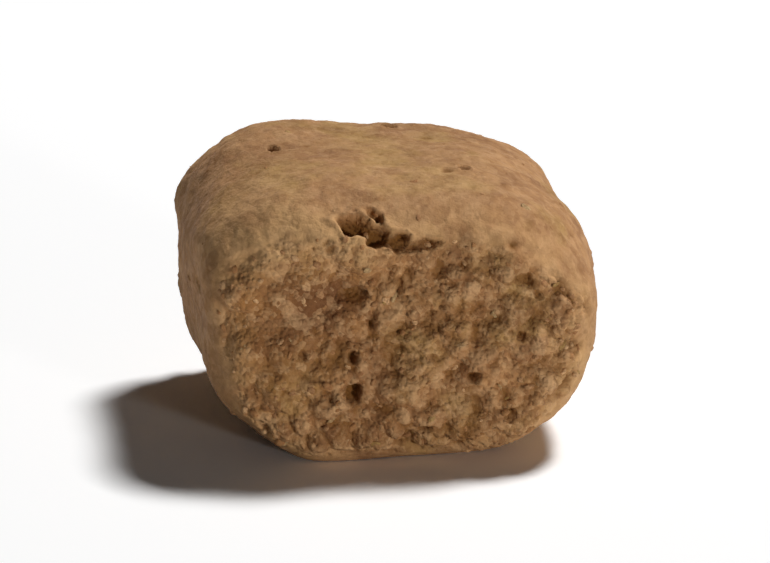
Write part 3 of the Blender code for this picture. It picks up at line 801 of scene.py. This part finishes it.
def scattered_meal(name, total, halves, sink, tip, seed, wanted, material):
    """Many chips in one piece, each seated on the body's surface.

    A chip is stretched by its three half sizes, turned about the surface's outward direction, tipped a little and
    sunk by a share of its height.
    """
    random = np.random.default_rng(seed)
    places, outward, cut = body_surface()
    chance = wanted(places, outward, cut)
    picked = random.choice(len(places), total, replace=False, p=chance / chance.sum())
    unit, faces = pebble(8, 5)
    sizes = np.array(halves) * random.uniform(0.5, 1.4, (total, 1)) * random.uniform(0.75, 1.25, (total, 3))
    shapes = chips(random, unit, total, 14) * sizes[:, None]
    normal = outward[picked] + random.normal(0, tip, (total, 3))
    normal /= np.linalg.norm(normal, axis=1)[:, None]
    right = np.cross(random.normal(0, 1, (total, 3)), normal)
    right /= np.linalg.norm(right, axis=1)[:, None]
    axes = np.stack([right, np.cross(normal, right), normal], 1)
    seats = places[picked] - outward[picked] * (sizes[:, 2:] * sink)
    points = np.einsum("gpk,gkx->gpx", shapes, axes) + seats[:, None]
    points[..., 2] = np.maximum(points[..., 2], 0)
    every = (faces[None] + (np.arange(total) * len(unit))[:, None, None]).reshape(-1, 3)
    tone = np.repeat(random.uniform(0, 1, total), len(unit))
    return mesh_piece(name, points.reshape(-1, 3), every, {"tone": tone}, material)


def chip_finish(name, colours, shades):
    """Finish of the loose meal: each chip one of three shades by its tone, speckled and rough."""
    chain = NodeChain(name)
    tone = chain.attribute("tone")
    ground = chain.mix(chain.between(tone, 0.30, 0.45), shades[0], shades[1])
    ground = chain.mix(chain.between(tone, 0.68, 0.80), ground, shades[2])
    speckle = chain.between(chain.speckle(0.09 * MM, 3.0), 0.38, 0.66, 0.0, 0.55)
    ground = chain.mix(speckle, ground, tuple(colours.dark))
    chain.put(chain.shader.inputs["Base Color"], ground)
    chain.shader.inputs["Roughness"].default_value = 0.78
    chain.shader.inputs["Specular IOR Level"].default_value = 0.3
    chain.put(chain.shader.inputs["Normal"], chain.bump(chain.speckle(0.08 * MM, 4.0, 0.65), 0.04 * MM))
    return chain.material


class KIBBLE_OT_meal(bpy.types.Operator):
    """Seats coarse grains and flakes of bran in the body's surface."""

    bl_idname = "kibble.meal"
    bl_label = "Coarse meal"

    def execute(self, context):
        meal, colours = context.scene.loose_meal, context.scene.kibble_colours
        skin, crumb, pale, dark, straw, bran = (
            tuple(getattr(colours, name)) for name in ("skin", "crumb", "pale", "dark", "straw", "bran")
        )
        size = meal.grain_size
        scattered_meal("meal_grains", meal.grain_count, (size, 0.8 * size, 0.7 * size), 0.45, 0.25, 21,
                       lambda places, outward, cut: (0.03 + cut) * (places[:, 2] > 0.7 * MM),
                       chip_finish("coarse_meal", colours, (crumb, skin, pale)))
        flake = (meal.flake_size, 0.5 * meal.flake_size, meal.flake_thickness)
        scattered_meal("bran_flakes", meal.flake_count, flake, 0.5, 0.06, 22,
                       lambda places, outward, cut: (0.2 + cut) * (places[:, 2] > 0.7 * MM),
                       chip_finish("bran", colours, (straw, bran, pale)))
        return {"FINISHED"}


def seen_directly(tree):
    """1 on rays from the camera, and on those by which gloss and glass show what is behind, and 0 on others."""
    path = tree.nodes.new("ShaderNodeLightPath").outputs
    most = path["Is Camera Ray"]
    for kind in ("Is Glossy Ray", "Is Transmission Ray"):
        node = tree.nodes.new("ShaderNodeMath")
        node.operation = "MAXIMUM"
        tree.links.new(most, node.inputs[0])
        tree.links.new(path[kind], node.inputs[1])
        most = node.outputs["Value"]
    return most


def plain_floor(stage):
    """Matt floor: white to the camera, and a darker matt that returns less light to the kibble.

    Far from the kibble, past its shadow, the camera sees plain white, so no horizon shows.
    """
    chain = NodeChain("floor")
    tree = chain.tree
    tree.nodes.remove(chain.shader)
    seen = seen_directly(tree)
    bounce, white = (stage.floor_bounce,) * 3, (stage.floor_white,) * 3
    matt = tree.nodes.new("ShaderNodeBsdfDiffuse")
    chain.put(matt.inputs["Color"], chain.mix(seen, bounce, white))
    away = tree.nodes.new("ShaderNodeVectorMath")
    away.operation = "LENGTH"
    tree.links.new(chain.place, away.inputs[0])
    far = chain.between(away.outputs["Value"], stage.white_from, stage.white_beyond)
    plain_white = tree.nodes.new("ShaderNodeEmission")
    either = tree.nodes.new("ShaderNodeMixShader")
    chain.put(either.inputs["Fac"], chain.math("MULTIPLY", far, seen))
    tree.links.new(matt.outputs["BSDF"], either.inputs[1])
    tree.links.new(plain_white.outputs["Emission"], either.inputs[2])
    tree.links.new(either.outputs["Shader"], tree.nodes["Material Output"].inputs["Surface"])
    return chain.material


def even_sky(strength):
    """World: white to the camera, and an even light of that strength to everything else."""
    world = bpy.data.worlds.new("sky")
    world.use_nodes = True
    tree = world.node_tree
    mapped = tree.nodes.new("ShaderNodeMapRange")
    mapped.inputs["To Min"].default_value = strength
    mapped.inputs["To Max"].default_value = 1.0
    tree.links.new(seen_directly(tree), mapped.inputs["Value"])
    background = tree.nodes["Background"]
    background.inputs["Color"].default_value = (1, 1, 1, 1)
    tree.links.new(mapped.outputs["Result"], background.inputs["Strength"])
    bpy.context.scene.world = world


def soft_lamp(name, toward, distance, size, power, aim):
    """A square lamp at a distance from the aim, facing it."""
    lamp = bpy.data.lights.new(name, "AREA")
    lamp.size = size
    lamp.energy = power
    holder = bpy.data.objects.new(name, lamp)
    direction = Vector(toward).normalized()
    holder.location = aim + direction * distance
    holder.rotation_euler = direction.to_track_quat("Z", "Y").to_euler()
    bpy.context.scene.collection.objects.link(holder)


class KIBBLE_OT_stage(bpy.types.Operator):
    """Sets the floor, the sky, the lamp and the camera."""

    bl_idname = "kibble.stage"
    bl_label = "Stage"

    def execute(self, context):
        scene = context.scene
        stage = scene.kibble_stage
        low, high = CAD_BOX
        aim = (low + high) / 2
        reach = 1.5
        corners = [(-reach, -reach, -0.02 * MM), (reach, -reach, -0.02 * MM), (reach, reach, -0.02 * MM),
                   (-reach, reach, -0.02 * MM)]
        mesh = bpy.data.meshes.new("floor")
        mesh.from_pydata(corners, [], [(0, 1, 2, 3)])
        mesh.materials.append(plain_floor(stage))
        floor = bpy.data.objects.new("floor", mesh)
        scene.collection.objects.link(floor)
        even_sky(stage.sky)
        soft_lamp("key", (0.39, 0.235, 0.89), stage.lamp_distance, stage.key_size, stage.key_power, aim)
        soft_lamp("fill", (0.50, -0.86, 0.04), stage.lamp_distance, stage.fill_size, stage.fill_power, aim)

        turn, tilt = math.radians(stage.azimuth), math.radians(stage.elevation)
        back = Vector((math.sin(turn) * math.cos(tilt), -math.cos(turn) * math.cos(tilt), math.sin(tilt)))
        size = high - low
        seen_height = size.z * math.cos(tilt) + size.y * math.sin(tilt)
        picture_width = seen_height / stage.fill * PHOTO_WIDTH / PHOTO_HEIGHT
        camera = bpy.data.objects.new("camera", bpy.data.cameras.new("camera"))
        camera.data.lens = camera.data.sensor_width * stage.distance / picture_width
        camera.data.clip_start, camera.data.clip_end = 0.01, 10.0
        camera.location = aim + back * stage.distance
        camera.rotation_euler = back.to_track_quat("Z", "Y").to_euler()
        scene.collection.objects.link(camera)
        scene.camera = camera
        scene.view_settings.view_transform = "Standard"
        return {"FINISHED"}


class KIBBLE_PT_panel(bpy.types.Panel):
    """Lists the kibble's steps in the sidebar."""

    bl_idname = "KIBBLE_PT_panel"
    bl_label = "Kibble"
    bl_space_type = "VIEW_3D"
    bl_region_type = "UI"
    bl_category = "Kibble"

    def draw(self, context):
        for operator in OPERATORS:
            self.layout.operator(operator.bl_idname)


GROUPS = {
    "kibble_form": KibbleForm,
    "crumb_relief": CrumbRelief,
    "loose_meal": LooseMeal,
    "kibble_colours": KibbleColours,
    "kibble_stage": KibbleStage,
}
OPERATORS = (KIBBLE_OT_body, KIBBLE_OT_meal, KIBBLE_OT_stage)


def register():
    for made in (*GROUPS.values(), *OPERATORS, KIBBLE_PT_panel):
        bpy.utils.register_class(made)
    for name, group in GROUPS.items():
        setattr(bpy.types.Scene, name, PointerProperty(type=group))


def unregister():
    for name in GROUPS:
        delattr(bpy.types.Scene, name)
    for made in reversed((*GROUPS.values(), *OPERATORS, KIBBLE_PT_panel)):
        bpy.utils.unregister_class(made)


def main():
    register()
    bpy.ops.kibble.body()
    bpy.ops.kibble.meal()
    bpy.ops.kibble.stage()


if __name__ == "__main__":
    main()
